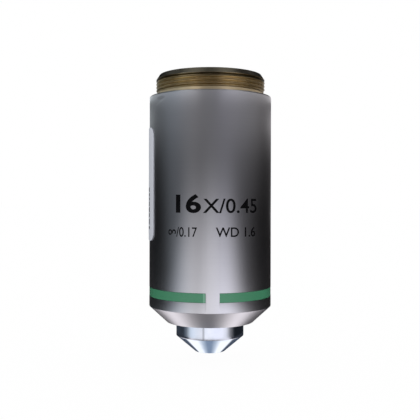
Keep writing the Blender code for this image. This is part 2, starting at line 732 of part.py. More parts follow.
def smooth_round_faces(obj):
    """Keep the finished mesh of a piece, with its round faces smooth and its edges sharp."""
    graph = bpy.context.evaluated_depsgraph_get()
    mesh = bpy.data.meshes.new_from_object(obj.evaluated_get(graph))
    mesh.name = obj.name
    obj.modifiers.clear()
    obj.data = mesh
    mesh.shade_smooth()
    mesh.set_sharp_from_angle(angle=SHARP_ANGLE)


def main():
    for obj in list(bpy.data.objects):
        bpy.data.objects.remove(obj)

    parts = new_collection("microscope_objective")
    cutters = new_collection("cutters")
    housing = new_object("housing", None, parts)
    lens_unit = new_object("lens_unit", None, parts)

    brass = new_material("brass", (0.34, 0.24, 0.13), 0.30, metallic=1.0)
    satin_chrome = new_material("satin_chrome", (0.60, 0.60, 0.62), 0.32, metallic=1.0)
    polished_chrome = new_material("polished_chrome", (0.80, 0.82, 0.86), 0.05, metallic=1.0)
    steel = new_material("steel", (0.45, 0.45, 0.46), 0.30, metallic=1.0)
    black_brass = new_material("blackened_brass", (0.02, 0.02, 0.02), 0.55)
    green_enamel = new_material("green_enamel", (0.07, 0.25, 0.14), 0.35)
    label_paper = new_material("label_paper", (0.48, 0.51, 0.55), 0.50)
    crown = new_material("crown_glass", (0.95, 0.98, 1.00), 0.0, transmission=1.0)
    flint = new_material("flint_glass", (0.98, 0.96, 0.90), 0.0, transmission=1.0)

    make_thread_collar(housing, brass, parts)
    make_outer_sleeve(housing, satin_chrome, parts, cutters)
    make_colour_band(housing, green_enamel, parts, cutters)
    make_side_label(housing, label_paper, parts, cutters)
    make_guide_tube(housing, brass, parts, cutters)
    make_parfocal_shim(housing, steel, parts)
    make_spring_retainer(housing, black_brass, parts, cutters)
    make_retract_spring(housing, steel, parts)
    make_guide_pin(housing, steel, parts, cutters)

    make_lens_barrel(lens_unit, brass, parts, cutters)
    make_nose(lens_unit, polished_chrome, parts)
    make_front_group(lens_unit, black_brass, crown, parts)
    make_lens_stack(lens_unit, black_brass, crown, flint, parts)
    make_lock_ring(lens_unit, black_brass, parts, cutters)
    make_rear_stop(lens_unit, black_brass, parts)
    make_centring_screws(lens_unit, steel, parts, cutters)

    bpy.context.view_layer.update()
    for obj in [obj for obj in parts.objects if obj.type == "MESH"]:
        smooth_round_faces(obj)


main()
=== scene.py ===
# Microscope objective, dressed piece by piece in the order in which it is put together.
# Metres, with the optical axis on Z and the seating shoulder at z = 0. The front faces -Y.

import math
import random

import bpy
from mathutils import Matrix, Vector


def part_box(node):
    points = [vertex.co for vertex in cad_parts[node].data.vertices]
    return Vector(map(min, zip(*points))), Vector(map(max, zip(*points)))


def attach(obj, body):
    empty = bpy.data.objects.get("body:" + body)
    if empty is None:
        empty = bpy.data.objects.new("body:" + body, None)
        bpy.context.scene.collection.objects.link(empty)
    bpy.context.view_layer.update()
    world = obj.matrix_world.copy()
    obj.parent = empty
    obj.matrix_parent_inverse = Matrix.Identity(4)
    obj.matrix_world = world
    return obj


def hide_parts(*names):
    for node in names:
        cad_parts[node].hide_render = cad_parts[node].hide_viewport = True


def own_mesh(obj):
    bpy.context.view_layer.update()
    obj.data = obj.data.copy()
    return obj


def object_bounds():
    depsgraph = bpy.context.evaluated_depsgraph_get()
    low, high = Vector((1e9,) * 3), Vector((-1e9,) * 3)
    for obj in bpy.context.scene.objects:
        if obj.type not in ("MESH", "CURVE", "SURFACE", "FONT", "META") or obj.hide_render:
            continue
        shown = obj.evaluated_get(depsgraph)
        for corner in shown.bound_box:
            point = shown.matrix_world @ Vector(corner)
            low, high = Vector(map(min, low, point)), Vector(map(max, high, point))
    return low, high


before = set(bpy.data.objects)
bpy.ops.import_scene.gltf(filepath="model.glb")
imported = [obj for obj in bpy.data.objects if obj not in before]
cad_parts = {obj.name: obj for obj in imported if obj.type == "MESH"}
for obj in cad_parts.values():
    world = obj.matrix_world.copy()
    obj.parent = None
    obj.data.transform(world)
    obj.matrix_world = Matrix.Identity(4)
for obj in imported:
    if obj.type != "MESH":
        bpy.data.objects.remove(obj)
cad_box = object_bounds()
bpy.ops.object.select_all(action="DESELECT")


# Lens barrel and guide tube. Both are turned from brass bar and left bright. The barrel slides in
# the tube on two greased lands, so its tool marks run round the axis and catch the light in rings.

class Signal:
    """One output of a shader node, which can be used in ordinary sums."""

    def __init__(self, finish, socket):
        self.finish = finish
        self.socket = socket

    def sum(self, operation, first, second):
        return self.finish.node("Math", {"operation": operation}, {0: first, 1: second})

    def __add__(self, other):
        return self.sum("ADD", self, other)

    def __sub__(self, other):
        return self.sum("SUBTRACT", self, other)

    def __rsub__(self, other):
        return self.sum("SUBTRACT", other, self)

    def __mul__(self, other):
        return self.sum("MULTIPLY", self, other)

    def __truediv__(self, other):
        return self.sum("DIVIDE", self, other)

    def __pow__(self, other):
        return self.sum("POWER", self, other)

    def __abs__(self):
        return self.sum("ABSOLUTE", self, 0.0)

    __radd__ = __add__
    __rmul__ = __mul__

    def between(self, start, end):
        """0 up to start and 1 from end on, with a soft step between them."""
        settings = {"interpolation_type": "SMOOTHSTEP"}
        values = {"Value": self, "From Min": start, "From Max": end}
        return self.finish.node("MapRange", settings, values)

    def near(self, middle, inner, outer):
        """1 up to the inner distance from the middle and 0 beyond the outer one, to both sides."""
        return 1.0 - abs(self - middle).between(inner, outer)


class Finish:
    """A procedural surface finish, built up from nodes on one material."""

    def __init__(self, name, **shader_values):
        self.material = bpy.data.materials.new(name)
        self.material.use_nodes = True
        self.tree = self.material.node_tree
        self.shader = self.tree.nodes["Principled BSDF"]
        for socket, value in shader_values.items():
            self.give(socket.replace("_", " "), value)

    def feed(self, socket, value):
        if isinstance(value, Signal):
            self.tree.links.new(value.socket, socket)
        elif hasattr(value, "__len__") and len(socket.default_value) == len(value) + 1:
            socket.default_value = (*value, 1.0)
        else:
            socket.default_value = value

    def give(self, socket, value):
        """Set or link a socket of the surface shader."""
        self.feed(self.shader.inputs[socket], value)

    def node(self, kind, settings, values, output=0):
        """Add a shader node: its settings come first, then the values or links of its sockets."""
        node = self.tree.nodes.new("ShaderNode" + kind)
        for setting, value in settings.items():
            if setting == "stops":
                self.set_stops(node.color_ramp.elements, value)
            else:
                setattr(node, setting, value)
        for socket, value in values.items():
            self.feed(node.inputs[socket], value)
        return Signal(self, node.outputs[output])

    def set_stops(self, elements, stops):
        elements.remove(elements[0])
        for position, level in stops:
            element = elements[0] if position == stops[0][0] else elements.new(position)
            element.position = position
            element.color = (*level, 1.0) if hasattr(level, "__len__") else (level, level, level, 1.0)

    def ramp(self, value, stops):
        return self.node("ValToRGB", {"stops": stops}, {"Fac": value})

    def mix(self, share, first, second):
        return self.node("Mix", {"data_type": "RGBA"}, {0: share, 6: first, 7: second}, 2)

    def place(self):
        """The x, y and z of the point that is shaded."""
        coordinates = self.node("TexCoord", {}, {}, "Object")
        split = {"Vector": coordinates}
        return [self.node("SeparateXYZ", {}, split, axis) for axis in ("X", "Y", "Z")]

    def clouds(self, per_metre, detail=3.0):
        coordinates = self.node("TexCoord", {}, {}, "Object")
        values = {"Vector": coordinates, "Scale": per_metre, "Detail": detail}
        return self.node("TexNoise", {}, values)

    def tool_marks(self, per_metre, along=90.0):
        """Fine lines that run round the axis, on round, flat and tapered faces alike."""
        x, y, z = self.place()
        across = z + (x * x + y * y) ** 0.5
        vector = self.node("CombineXYZ", {}, {"X": x * along, "Y": y * along, "Z": across * per_metre})
        return self.node("TexNoise", {}, {"Vector": vector, "Scale": 1.0, "Detail": 3.0})

    def bump(self, height, depth):
        values = {"Height": height, "Distance": depth, "Strength": 1.0}
        self.give("Normal", self.node("Bump", {}, values))

    def dress(self, *names):
        """Give the finish to these nodes or pieces."""
        for name in names:
            mesh = bpy.data.objects[name].data
            mesh.materials.clear()
            mesh.materials.append(self.material)


machined_brass = Finish("machined_brass", Metallic=1.0)
marks = machined_brass.tool_marks(6000.0)
tarnish = machined_brass.clouds(160.0).between(0.35, 0.75)
bright, dulled = (0.72, 0.52, 0.25), (0.50, 0.34, 0.15)
machined_brass.give("Base Color", machined_brass.mix(tarnish, bright, dulled))
machined_brass.give("Roughness", 0.20 + marks * 0.16 + tarnish * 0.08)
machined_brass.bump(marks, 0.000002)
machined_brass.dress("lens_barrel", "guide_tube")


# Lens cells, spacers and the lock ring. They are turned brass, blackened chemically so that stray
# light dies in the barrel. Handling has rubbed the black thin on a few spots.

blackened_brass = Finish("blackened_brass", Metallic=0.0)
marks = blackened_brass.tool_marks(4500.0)
wear_and_painted_reflection = blackened_brass.clouds(700.0).between(0.66, 0.80) * 0.35
black = blackened_brass.mix(wear_and_painted_reflection, (0.012, 0.012, 0.013), (0.10, 0.075, 0.045))
blackened_brass.give("Base Color", black)
blackened_brass.give("Roughness", 0.42 + marks * 0.25)
blackened_brass.bump(marks, 0.000003)
blackened_brass.dress(
    "second_cell", "lower_spacer", "doublet_cell", "middle_spacer", "triplet_cell", "upper_spacer",
    "rear_cell", "lock_ring",
)


# Lenses. Crown and flint elements are ground, polished and cemented, and the faces that meet air
# carry a thin coating, which is what tints the light that they throw back.

glasses = {}
for glass_name, index, tint, coating in [
    ("crown_glass", 1.52, (0.97, 0.99, 1.0), (0.62, 0.45, 0.85)),
    ("flint_glass", 1.62, (0.99, 0.98, 0.94), (0.45, 0.75, 0.55)),
]:
    glass = Finish(
        glass_name, Base_Color=tint, IOR=index, Transmission_Weight=1.0, Specular_Tint=coating,
    )
    glass.give("Roughness", glass.clouds(900.0) * 0.015)
    glasses[glass_name] = glass
glasses["crown_glass"].dress(
    "second_lens", "doublet_crown", "triplet_lower", "triplet_upper", "rear_crown",
)
glasses["flint_glass"].dress("doublet_flint", "triplet_middle")


# Rear lens. It is the flint element that closes the train under the rear stop, and the one whose
# hollow face shows when the objective is looked into from the thread.

weld = 1e-7


def extend(section):
    """Extrude the selected ring through the (radius, height) points of a section."""
    radius, height = section[0]
    for next_radius, next_height in section[1:]:
        rise = (0.0, 0.0, next_height - height)
        bpy.ops.mesh.extrude_region_move(TRANSFORM_OT_translate={"value": rise})
        spread = next_radius / radius
        centre = (0.0, 0.0, next_height)
        bpy.ops.transform.resize(value=(spread, spread, 1.0), center_override=centre)
        radius, height = next_radius, next_height


def settle(piece, rounding, smooth=math.radians(40.0)):
    """Round the edges of a piece, and shade it by the normals of its larger faces."""
    bpy.ops.object.mode_set(mode="OBJECT")
    if rounding:
        bevel = piece.modifiers.new("Rounding", "BEVEL")
        bevel.width = rounding
        bevel.segments = 3
        bevel.limit_method = "ANGLE"
        bevel.angle_limit = math.radians(20.0)
        bpy.ops.object.modifier_apply(modifier="Rounding")
    bpy.ops.object.shade_smooth_by_angle(angle=smooth)
    normals = piece.modifiers.new("Normals", "WEIGHTED_NORMAL")
    normals.keep_sharp = True
    bpy.ops.object.modifier_apply(modifier="Normals")


def turn(name, section, facets=192, solid=False, rounding=0.0):
    """Turn a piece on the optical axis from a section of (radius, height) points.

    A ring's section closes on its first point, and a solid piece's ends near the axis.
    """
    bpy.ops.object.select_all(action="DESELECT")
    radius, height = section[0]
    bpy.ops.mesh.primitive_circle_add(vertices=facets, radius=radius, location=(0.0, 0.0, height))
    piece = bpy.context.object
    piece.name = name
    bpy.ops.object.transform_apply()
    bpy.ops.object.mode_set(mode="EDIT")
    bpy.ops.mesh.select_mode(type="VERT")
    bpy.ops.mesh.select_all(action="SELECT")
    extend(section if solid else section + section[:1])
    bpy.ops.mesh.select_all(action="SELECT")
    bpy.ops.mesh.remove_doubles(threshold=weld)
    if solid:
        bpy.ops.mesh.fill_holes(sides=0)
    bpy.ops.mesh.normals_make_consistent(inside=False)
    settle(piece, rounding)
    return piece


def face_drop(radius, curve):
    """How far a spherical face has fallen away from its centre at this radius."""
    return math.copysign(abs(curve) - math.sqrt(curve * curve - radius * radius), curve)


low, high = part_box("rear_flint")
rear_rim = high.x
rear_curve = 0.025
rear_rings = 10
rear_steps = [rear_rim * ring / rear_rings for ring in range(1, rear_rings + 1)]
rear_hollow_z = high.z - face_drop(rear_rim, rear_curve)
rear_hollow = [(r, rear_hollow_z + face_drop(r, rear_curve)) for r in rear_steps]
rear_belly_curve = 0.011
rear_belly_z = low.z + face_drop(rear_rim, rear_belly_curve)
rear_belly = [(r, rear_belly_z - face_drop(r, rear_belly_curve)) for r in reversed(rear_steps)]
rear_lens = turn("rear_lens", rear_hollow + rear_belly, facets=96, solid=True)
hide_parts("rear_flint")
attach(rear_lens, "lens_unit")
glasses["flint_glass"].dress("rear_lens")


# Rear stop. A disc of thin brass, blackened, whose hole sets the beam that leaves the objective.
# Its upper edge is chamfered so that only a sharp black lip faces the light.

low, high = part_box("rear_stop")
stop_hole = 0.0044
stop_chamfer = 0.0004
stop_section = [
    (high.x, high.z),
    (high.x, low.z),
    (stop_hole, low.z),
    (stop_hole, high.z - stop_chamfer),
    (stop_hole + stop_chamfer, high.z),
]
rear_aperture = turn("rear_aperture", stop_section, facets=144, rounding=0.00003)
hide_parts("rear_stop")
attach(rear_aperture, "lens_unit")
blackened_brass.dress("rear_aperture")


# Front cell and front lens. The cell drops into the nose and shows as a black ring in its tip, and
# the plano-convex front lens sits just behind it with its flat side towards the specimen.

low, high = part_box("front_cell")
cell_radius = high.x
cell_neck = 0.0027
cell_lip = 0.00175
cell_lip_height = 0.00035
cell_bore = 0.0021
cell_mouth = 0.0045
cell_throat_height = 0.0026
cell_throat_z = low.z + cell_throat_height
tip_low, tip_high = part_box("nose_cone")
nose_wall = 0.00116
nose_taper_height = 0.0037
nose_tip_radius = 0.0034
nose_slope = nose_taper_height / (tip_high.x - nose_tip_radius)
nose_wall_rise = nose_wall * math.hypot(1.0, nose_slope)


def nose_inside(radius, clearance=0.0):
    """Height of the cone inside the nose at this radius."""
    return tip_low.z + (radius - nose_tip_radius) * nose_slope + nose_wall_rise + clearance


cell_clearance = 0.0002
cell_section = [
    (cell_radius, high.z),
    (cell_radius, nose_inside(cell_radius, cell_clearance)),
    (cell_neck, nose_inside(cell_neck, cell_clearance)),
    (cell_neck, low.z),
    (cell_lip, low.z),
    (cell_lip, low.z + cell_lip_height),
    (cell_bore, low.z + cell_lip_height),
    (cell_bore, cell_throat_z),
    (cell_mouth, cell_throat_z + cell_mouth - cell_bore),
    (cell_mouth, high.z),
]
front_mount = turn("front_mount", cell_section, facets=96, rounding=0.00004)
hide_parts("front_cell")
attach(front_mount, "lens_unit")
blackened_brass.dress("front_mount")

low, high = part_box("front_lens")
front_curve = 0.0023
front_rings = 12
front_angles = [math.pi / 2.0 * ring / front_rings for ring in range(1, front_rings + 1)]
front_steps = [high.x * math.sin(angle) for angle in front_angles]
front_dome = [(r, high.z - face_drop(r, front_curve)) for r in front_steps]
front_flat = [(high.x, low.z), (front_steps[0], low.z)]
front_bead = turn("front_bead", front_dome + front_flat, facets=96, solid=True)
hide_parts("front_lens")
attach(front_bead, "lens_unit")
glasses["crown_glass"].dress("front_bead")


# Nose. It is turned, hard chromed and polished to a mirror, so that it wipes clean of oil. Only
# hairlines from cleaning and a faint polishing lay are left on it.

nose_hole = 0.0028
nose_section = [
    (tip_high.x, tip_high.z),
    (tip_high.x, tip_low.z + nose_taper_height),
    (nose_tip_radius, tip_low.z),
    (nose_hole, tip_low.z),
    (nose_hole, nose_inside(nose_hole)),
    (tip_high.x - nose_wall, nose_inside(tip_high.x - nose_wall)),
    (tip_high.x - nose_wall, tip_high.z),
]
mirror_nose = turn("mirror_nose", nose_section, facets=256, rounding=0.00006)
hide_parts("nose_cone")
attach(mirror_nose, "lens_unit")

polished_chrome = Finish("polished_chrome", Metallic=1.0)
lay = polished_chrome.tool_marks(2500.0, 400.0)
film = polished_chrome.clouds(350.0).between(0.45, 0.75)
polished_chrome.give("Base Color", polished_chrome.mix(film, (0.83, 0.86, 0.93), (0.76, 0.80, 0.88)))
polished_chrome.give("Roughness", 0.045 + lay * 0.03 + film * 0.03)
polished_chrome.bump(lay, 0.0000003)
polished_chrome.dress("mirror_nose")


# Steel parts: the shim, the dog screw and the centring screws. They are bought in, ground bright
# and oiled, and the oil leaves a slightly uneven sheen.

steel = Finish("bright_steel", Metallic=1.0)
oiled = steel.clouds(900.0).between(0.3, 0.7)
steel.give("Base Color", steel.mix(oiled, (0.56, 0.56, 0.57), (0.44, 0.44, 0.46)))
steel.give("Roughness", 0.22 + oiled * 0.14)
steel.bump(steel.clouds(9000.0), 0.000002)
steel.dress("parfocal_shim", "guide_pin", "centring_screw_1", "centring_screw_2", "centring_screw_3")


# Spring. It is wound from music wire with a closed turn at each end, and pushes the lens unit
# down from the retainer. It stays with the housing.

low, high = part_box("retract_spring")
wire_radius = 0.00035
coil_radius = high.x - wire_radius
coil_pitch = 0.0019
closed_gap = 0.0001
closed_pitch = 2.0 * wire_radius + closed_gap
end_turns = 1.0
points_per_turn = 36
wire_top = high.z - wire_radius
open_turns = (wire_top - low.z - wire_radius - 2.0 * end_turns * closed_pitch) / coil_pitch
coil_turns = open_turns + 2.0 * end_turns
wire_steps = round(coil_turns * points_per_turn)
coil = bpy.data.curves.new("coil_spring", "CURVE")
coil.dimensions = "3D"
coil.bevel_depth = wire_radius
coil.bevel_resolution = 3
coil.use_fill_caps = True
wire = coil.splines.new("POLY")
wire.points.add(wire_steps)
for step, point in enumerate(wire.points):
    wound = coil_turns * step / wire_steps
    closed = min(wound, end_turns) + max(0.0, wound - end_turns - open_turns)
    drop = closed * closed_pitch + (wound - closed) * coil_pitch
    turned = math.tau * wound
    point.co = (coil_radius * math.cos(turned), coil_radius * math.sin(turned), wire_top - drop, 1.0)
coil_spring = bpy.data.objects.new("coil_spring", coil)
bpy.context.scene.collection.objects.link(coil_spring)
coil_spring.select_set(True)
bpy.context.view_layer.objects.active = coil_spring
bpy.ops.object.convert(target="MESH")
bpy.ops.object.mode_set(mode="EDIT")
bpy.ops.mesh.select_all(action="SELECT")
bpy.ops.mesh.remove_doubles(threshold=weld)
bpy.ops.mesh.normals_make_consistent(inside=False)
bpy.ops.object.mode_set(mode="OBJECT")
bpy.ops.object.shade_smooth_by_angle(angle=math.radians(50.0))
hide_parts("retract_spring")
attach(coil_spring, "housing")
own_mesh(coil_spring)
steel.dress("coil_spring")


# Spring retainer. This blackened ring screws into the top of the guide tube with a pin spanner,
# for which two slots are milled straight across it.

low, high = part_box("spring_retainer")
retainer_width = 0.0028
retainer_bore = high.x - retainer_width
retainer_chamfer = 0.0004
retainer_section = [
    (high.x, high.z),
    (high.x, low.z),
    (retainer_bore, low.z),
    (retainer_bore, high.z - retainer_chamfer),
    (retainer_bore + retainer_chamfer, high.z),
]
spring_ring = turn("spring_ring", retainer_section, facets=160, rounding=0.00006)
slot_width, slot_depth = 0.0012, 0.0008
bpy.ops.mesh.primitive_cube_add(size=1.0, location=(0.0, 0.0, high.z))
slot_tool = bpy.context.object
slot_tool.scale = (2.5 * high.x, slot_width, 2.0 * slot_depth)
bpy.context.view_layer.objects.active = spring_ring
slots = spring_ring.modifiers.new("Slots", "BOOLEAN")
slots.object = slot_tool
slots.solver = "EXACT"
bpy.ops.object.modifier_apply(modifier="Slots")
bpy.data.objects.remove(slot_tool)
spring_ring.select_set(True)
bpy.ops.object.shade_smooth_by_angle(angle=math.radians(40.0))
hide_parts("spring_retainer")
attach(spring_ring, "housing")
blackened_brass.dress("spring_ring")


# Outer sleeve. It is turned from brass, blasted very finely and satin chromed. The seating
# shoulder is its top face, with a painted dark reflection and a painted highlight arc under it,
# and a shallow groove for the colour ring stops short near the front.

low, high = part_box("outer_sleeve")
sleeve_radius = high.x
sleeve_top_chamfer = 0.0002
sleeve_taper_height = 0.0037
sleeve_foot_radius = 0.0100
sleeve_mouth_radius = 0.0079
sleeve_floor_height = 0.0030
sleeve_bore_radius = 0.0121
sleeve_entry_radius = 0.0126
band_rise = 0.0023
band_height = 0.0021
band_depth = 0.0003
band_low_z = low.z + sleeve_taper_height + band_rise
band_high_z = band_low_z + band_height
sleeve_facets = 384
facet_angle = math.tau / sleeve_facets
opening_left_facets, opening_right_facets = 4, 9
band_left_angle = -opening_left_facets * facet_angle
band_right_angle = opening_right_facets * facet_angle
sleeve_section = [
    (sleeve_radius - sleeve_top_chamfer, high.z),
    (sleeve_radius, high.z - sleeve_top_chamfer),
    (sleeve_radius, band_high_z),
    (sleeve_radius, band_low_z),
    (sleeve_radius, low.z + sleeve_taper_height),
    (sleeve_foot_radius, low.z),
    (sleeve_mouth_radius, low.z),
    (sleeve_mouth_radius, low.z + sleeve_floor_height),
    (sleeve_bore_radius, low.z + sleeve_floor_height),
    (sleeve_bore_radius, high.z + sleeve_bore_radius - sleeve_entry_radius),
    (sleeve_entry_radius, high.z),
]


def select_faces(piece, wanted):
    """Leave only the faces selected whose centre passes the test."""
    bpy.ops.object.mode_set(mode="EDIT")
    bpy.ops.mesh.select_mode(type="FACE")
    bpy.ops.mesh.select_all(action="DESELECT")
    bpy.ops.object.mode_set(mode="OBJECT")
    for face in piece.data.polygons:
        face.select = wanted(face.center)
    bpy.ops.object.mode_set(mode="EDIT")


def in_band(centre):
    outside = math.hypot(centre.x, centre.y) > sleeve_entry_radius
    return outside and band_low_z < centre.z < band_high_z


def in_opening(centre):
    return band_left_angle < math.atan2(centre.x, -centre.y) < band_right_angle


satin_sleeve = turn("satin_sleeve", sleeve_section, facets=sleeve_facets, rounding=0.00008)
select_faces(satin_sleeve, lambda centre: in_band(centre) and not in_opening(centre))
bpy.ops.mesh.extrude_region()
sink = (sleeve_radius - band_depth) / sleeve_radius
bpy.ops.transform.resize(value=(sink, sink, 1.0), center_override=(0.0, 0.0, band_low_z))
settle(satin_sleeve, rounding=0.0, smooth=math.radians(30.0))
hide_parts("outer_sleeve")
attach(satin_sleeve, "housing")

satin_chrome = Finish("satin_chrome", Metallic=1.0)
grain = satin_chrome.tool_marks(5000.0, 60.0)
frosting = satin_chrome.clouds(7000.0, 2.0)
touched = satin_chrome.clouds(75.0).between(0.42, 0.72)
# Painted reflection: a darker patch in the colour just under the shoulder, at the front left.
dark_reflection_x, dark_reflection_z = -0.0109, -0.0012
dark_reflection_reach_x, dark_reflection_reach_z = 0.0011, 0.0005
highlight_arc_x, highlight_arc_z, highlight_arc_slope = -0.0114, -0.0023, 0.6
highlight_arc_middle_x = -0.0110
x, y, z = satin_chrome.place()
front_half = (-1.0 * y).between(0.002, 0.004)
across, up = (x - dark_reflection_x) / dark_reflection_reach_x, (z - dark_reflection_z) / dark_reflection_reach_z
wear_and_painted_reflection = (1.0 - (across * across + up * up).between(0.1, 1.3)) * front_half * 0.45
# Painted highlight: a light arc in the colour below that darker patch.
highlight_arc = (z - highlight_arc_z - (x - highlight_arc_x) * highlight_arc_slope).near(0.0, 0.0001, 0.0004)
painted_glint = highlight_arc * x.near(highlight_arc_middle_x, 0.0004, 0.0015) * front_half * 0.4
chrome = satin_chrome.mix(grain * 0.5 + touched * 0.3, (0.73, 0.72, 0.735), (0.66, 0.65, 0.67))
# The darker patch goes into the colour as painted reflection, the light arc as painted highlight.
chrome_with_painted_reflection = satin_chrome.mix(wear_and_painted_reflection, chrome, (0.30, 0.29, 0.30))
satin_chrome.give("Base Color", satin_chrome.mix(painted_glint, chrome_with_painted_reflection, (0.98, 0.97, 0.98)))
satin_chrome.give("Roughness", 0.26 + grain * 0.06 + touched * 0.04)
satin_chrome.bump(grain * 0.6 + frosting * 0.4, 0.0000025)
satin_chrome.dress("satin_sleeve")


# Colour ring. Its green codes the magnification. The enamel fills the groove almost flush, and it
# is lighter in a narrow strip at one end.

band_skin = 0.00003
band_clearance = 0.00005
band_inner_radius = sleeve_radius - band_depth + band_clearance
band_section = [
    (sleeve_radius - band_skin, band_high_z - band_clearance),
    (sleeve_radius - band_skin, band_low_z + band_clearance),
    (band_inner_radius, band_low_z + band_clearance),
    (band_inner_radius, band_high_z - band_clearance),
]
enamel_ring = turn("enamel_ring", band_section, facets=sleeve_facets)
select_faces(enamel_ring, in_opening)
bpy.ops.mesh.delete(type="FACE")
bpy.ops.mesh.select_all(action="SELECT")
bpy.ops.mesh.fill_holes(sides=0)
bpy.ops.mesh.normals_make_consistent(inside=False)
settle(enamel_ring, rounding=0.00003, smooth=math.radians(30.0))
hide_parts("colour_band")
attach(enamel_ring, "housing")

green_enamel = Finish("green_enamel", Coat_Weight=0.35, Coat_Roughness=0.25)
strip_inset = 0.00035
strip_width = 0.00042
strip_middle_x = sleeve_radius * math.sin(band_left_angle) - strip_inset
x, y = green_enamel.place()[:2]
front_half = (-1.0 * y).between(0.0, 0.001)
strip = x.near(strip_middle_x, 0.4 * strip_width, 0.6 * strip_width) * front_half
worn = green_enamel.clouds(420.0).between(0.45, 0.8) * 0.25
green = green_enamel.mix(worn, (0.040, 0.215, 0.108), (0.052, 0.245, 0.132))
green_enamel.give("Base Color", green_enamel.mix(strip * 0.75, green, (0.16, 0.36, 0.25)))
green_enamel.give("Roughness", 0.36 + worn * 0.3)
green_enamel.bump(green_enamel.clouds(2600.0, 1.0), 0.000004)
green_enamel.dress("enamel_ring")


# Label. It is a pale sticker of coated paper with round corners, bent round the left of the sleeve
# and printed with plain grey strokes.

slice_width = 0.0004


def wrap(piece, radius, turn_angle=0.0):
    """Slice a flat piece upright and bend it round the axis: x runs round, y up, z outwards."""
    bpy.ops.object.mode_set(mode="EDIT")
    edge = max(abs(vertex.co.x) for vertex in piece.data.vertices)
    cuts = math.floor(edge / slice_width)
    for cut in range(-cuts, cuts + 1):
        bpy.ops.mesh.select_all(action="SELECT")
        bpy.ops.mesh.bisect(plane_co=(cut * slice_width, 0.0, 0.0), plane_no=(1.0, 0.0, 0.0))
    bpy.ops.object.mode_set(mode="OBJECT")
    for vertex in piece.data.vertices:
        angle = turn_angle + vertex.co.x / radius
        reach = radius + vertex.co.z
        vertex.co = (reach * math.sin(angle), -reach * math.cos(angle), vertex.co.y)


label_low, label_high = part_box("side_label")
label_gap = 0.00005
label_thickness = 0.00012
label_corner = 0.0022
label_near_angle = math.radians(63.4)
label_span = math.radians(100.0)
label_radius = sleeve_radius + label_gap
label_width = label_radius * label_span
label_angle = -label_near_angle - label_span / 2.0
label_middle_z = (label_low.z + label_high.z) / 2.0
bpy.ops.object.select_all(action="DESELECT")
bpy.ops.mesh.primitive_plane_add(size=1.0)
paper_label = bpy.context.object
paper_label.name = "paper_label"
paper_label.scale = (label_width, label_high.z - label_low.z, 1.0)
bpy.ops.object.transform_apply()
bpy.ops.object.mode_set(mode="EDIT")
bpy.ops.mesh.select_all(action="SELECT")
bpy.ops.mesh.bevel(offset=label_corner, offset_type="OFFSET", segments=10, affect="VERTICES")
bpy.ops.transform.translate(value=(0.0, label_middle_z, 0.0))
bpy.ops.object.mode_set(mode="OBJECT")
wrap(paper_label, label_radius, label_angle)
thickness = paper_label.modifiers.new("Thickness", "SOLIDIFY")
thickness.thickness = label_thickness
thickness.offset = 1.0
bpy.ops.object.modifier_apply(modifier="Thickness")
bpy.ops.object.shade_smooth_by_angle(angle=math.radians(40.0))
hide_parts("side_label")
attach(paper_label, "housing")

label_paper = Finish("label_paper", Coat_Weight=0.15, Coat_Roughness=0.35)
fibres = label_paper.clouds(5200.0)
soiling = label_paper.clouds(240.0).between(0.45, 0.8) * 0.5
pale = label_paper.mix(soiling, (0.545, 0.570, 0.635), (0.500, 0.522, 0.580))
label_paper.give("Base Color", label_paper.mix(fibres * 0.2, pale, (0.45, 0.47, 0.52)))
label_paper.give("Roughness", 0.48 + fibres * 0.12)
label_paper.bump(fibres, 0.000005)
label_paper.dress("paper_label")

stroke_random = random.Random(7)
stroke_height = 0.0014
stroke_thickness = 0.00001
line_first_angle = math.radians(-77.5)
line_step_angle = math.radians(-10.0)
line_count = 5
line_top_z, line_foot_z = -0.0208, -0.0300
shortest_stroke, longest_stroke = 0.0006, 0.0018
narrowest_gap, widest_gap = 0.0002, 0.0004
lowest_stroke = 0.7
strokes = []
for line in range(line_count):
    stroke_z = line_top_z
    while stroke_z > line_foot_z:
        length = stroke_random.uniform(shortest_stroke, longest_stroke)
        bpy.ops.object.select_all(action="DESELECT")
        bpy.ops.mesh.primitive_cube_add(size=1.0)
        stroke = bpy.context.object
        height = stroke_height * stroke_random.uniform(lowest_stroke, 1.0)
        stroke.scale = (height, length, stroke_thickness)
        stroke.location = (0.0, stroke_z - length / 2.0, stroke_thickness / 2.0)
        bpy.ops.object.transform_apply()
        wrap(stroke, label_radius + label_thickness, line_first_angle + line * line_step_angle)
        strokes.append(stroke)
        stroke_z -= length + stroke_random.uniform(narrowest_gap, widest_gap)
for stroke in strokes:
    stroke.select_set(True)
bpy.ops.object.join()
label_strokes = bpy.context.object
label_strokes.name = "label_strokes"
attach(label_strokes, "housing")

grey_print = Finish("grey_print")
speckle = grey_print.clouds(6000.0)
grey_print.give("Base Color", grey_print.mix(speckle, (0.07, 0.07, 0.08), (0.13, 0.13, 0.15)))
grey_print.give("Roughness", 0.5 + speckle * 0.1)
grey_print.dress("label_strokes")


# Lettering. Plain numbers are printed on the front in black baking ink: the magnification in bold
# and the aperture beside it, then the tube length, cover thickness and working distance.

ink_thickness = 0.000012


def letter(name, text, left_x, foot_z, width, height, weight):
    """Print a line of text on the sleeve, of this width and height, from its lower left corner."""
    bpy.ops.object.select_all(action="DESELECT")
    bpy.ops.object.text_add()
    line = bpy.context.object
    line.name = name
    line.data.body = text
    line.data.resolution_u = 6
    line.data.offset = weight
    bpy.ops.object.convert(target="MESH")
    line = bpy.context.object
    left = min(vertex.co.x for vertex in line.data.vertices)
    right = max(vertex.co.x for vertex in line.data.vertices)
    foot = min(vertex.co.y for vertex in line.data.vertices)
    top = max(vertex.co.y for vertex in line.data.vertices)
    across, up = width / (right - left), height / (top - foot)
    for vertex in line.data.vertices:
        vertex.co = (left_x + (vertex.co.x - left) * across, foot_z + (vertex.co.y - foot) * up, 0.0)
    wrap(line, sleeve_radius)
    thickness = line.modifiers.new("Ink", "SOLIDIFY")
    thickness.thickness = ink_thickness
    thickness.offset = 1.0
    bpy.ops.object.modifier_apply(modifier="Ink")
    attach(line, "housing")


